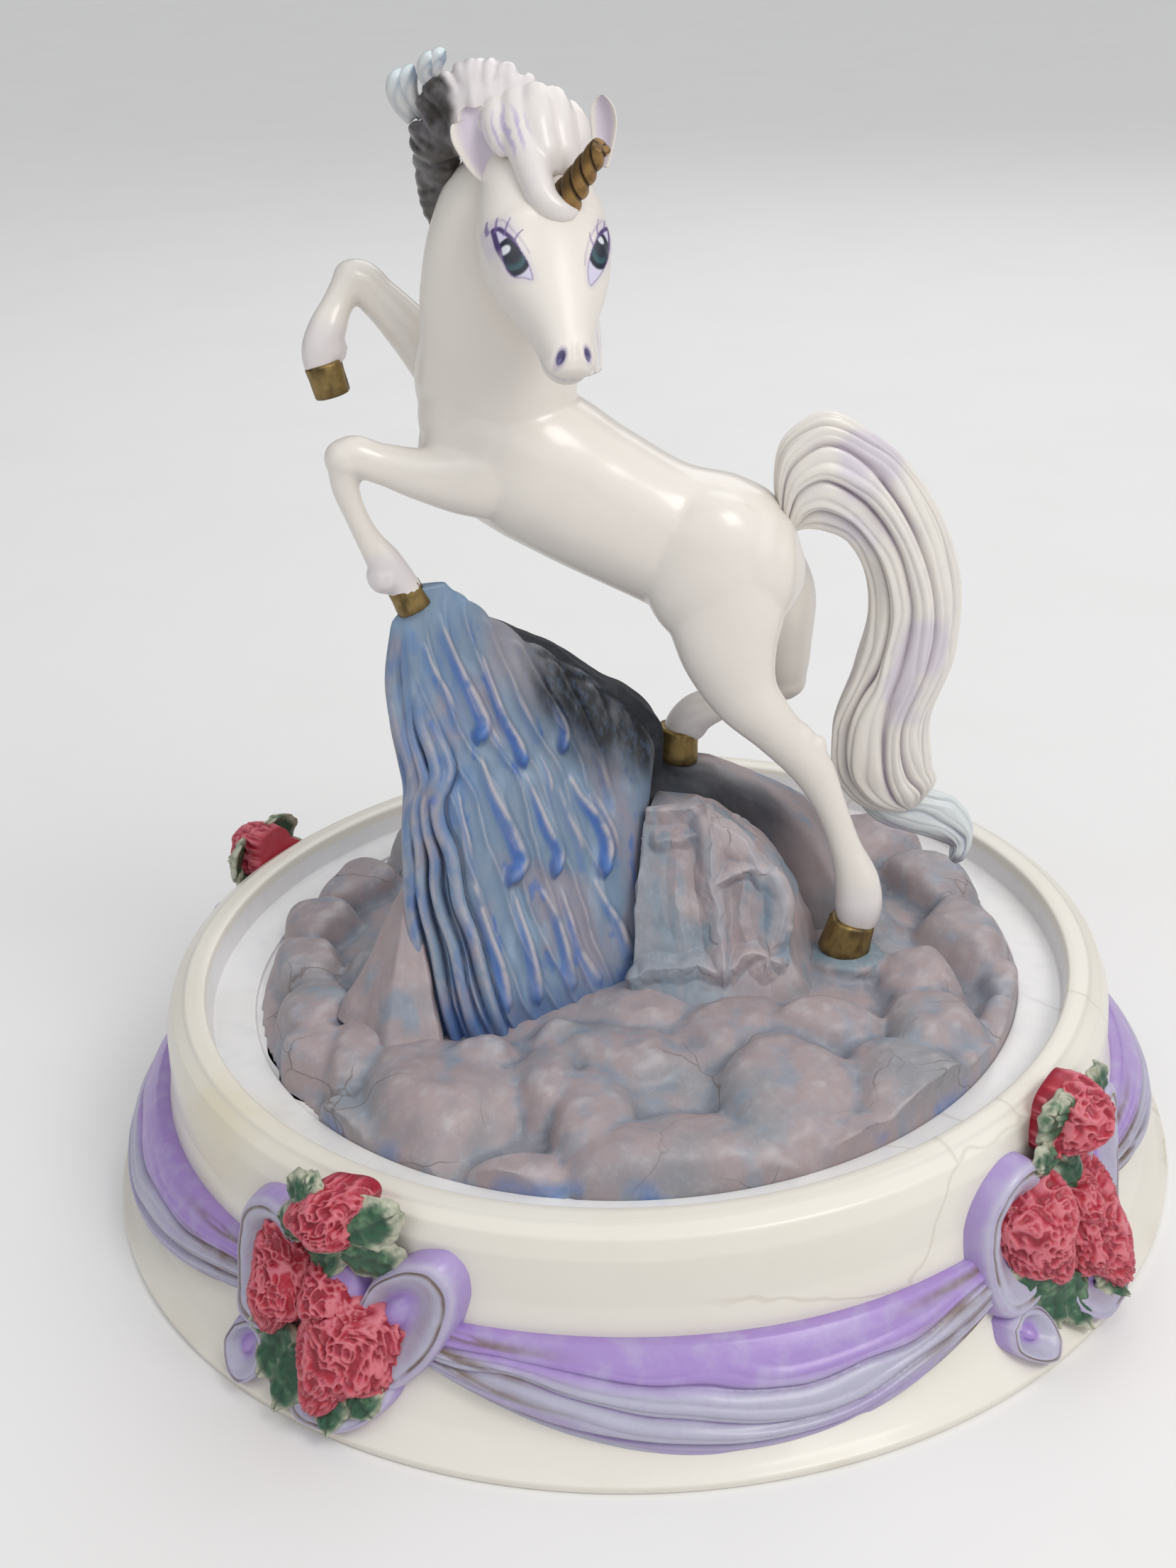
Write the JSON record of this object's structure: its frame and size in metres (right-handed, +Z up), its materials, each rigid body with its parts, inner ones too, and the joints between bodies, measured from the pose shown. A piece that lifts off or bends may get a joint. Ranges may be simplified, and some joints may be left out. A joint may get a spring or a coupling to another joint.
{
  "type": "unicorn figurine",
  "caption": "Rearing unicorn on a rock with a waterfall, on a round plinth with swags, bows and roses and a seat for a glass dome.",
  "frame": {"origin": "centre of the underside, on the surface it stands on", "axes": "+Z up; -Y towards the viewer of the picture, who sees the falls and the unicorn's left side; the unicorn rears towards -X"},
  "size_m": [0.1376, 0.1376, 0.1387],
  "materials": {
    "ivory_gloss": "cast resin, ivory, gloss lacquer",
    "brown_felt": "thin glued felt",
    "rock_paint": "cast resin, mauve-grey wash",
    "water_paint": "cast resin, blue gloss wash",
    "cream_gloss": "cast resin, cream white, gloss lacquer",
    "hair_gloss": "cast resin, white hair with lilac and blue wash",
    "gilt": "gold paint",
    "purple_cloth": "cast resin, purple and lilac paint, gold line",
    "rose_paint": "cast resin, crimson paint with pink edges",
    "leaf_paint": "cast resin, dark green paint with cream edges"
  },
  "bodies": {
    "root": {"back_left_bow": "purple_cloth", "back_left_leaves": "leaf_paint", "back_left_roses": "rose_paint", "back_right_bow": "purple_cloth", "back_right_leaves": "leaf_paint", "back_right_roses": "rose_paint", "back_swag": "purple_cloth", "body": "cream_gloss", "cascade_rock": "rock_paint", "far_fore_hoof": "gilt", "far_foreleg": "cream_gloss", "far_hind_hoof": "gilt", "far_hindleg": "cream_gloss", "felt_pad": "brown_felt", "forelock": "hair_gloss", "front_left_bow": "purple_cloth", "front_left_leaves": "leaf_paint", "front_left_roses": "rose_paint", "front_right_bow": "purple_cloth", "front_right_leaves": "leaf_paint", "front_right_roses": "rose_paint", "front_swag": "purple_cloth", "head": "cream_gloss", "horn": "gilt", "left_rock": "rock_paint", "left_swag": "purple_cloth", "mane": "hair_gloss", "mane_crest": "hair_gloss", "near_fore_hoof": "gilt", "near_foreleg": "cream_gloss", "near_hind_hoof": "gilt", "near_hindleg": "cream_gloss", "neck": "cream_gloss", "plinth": "ivory_gloss", "rear_ridge": "rock_paint", "right_swag": "purple_cloth", "rock_mound": "rock_paint", "tail": "hair_gloss", "tail_curl": "hair_gloss", "waterfall": "water_paint"}
  },
  "joints": []
}
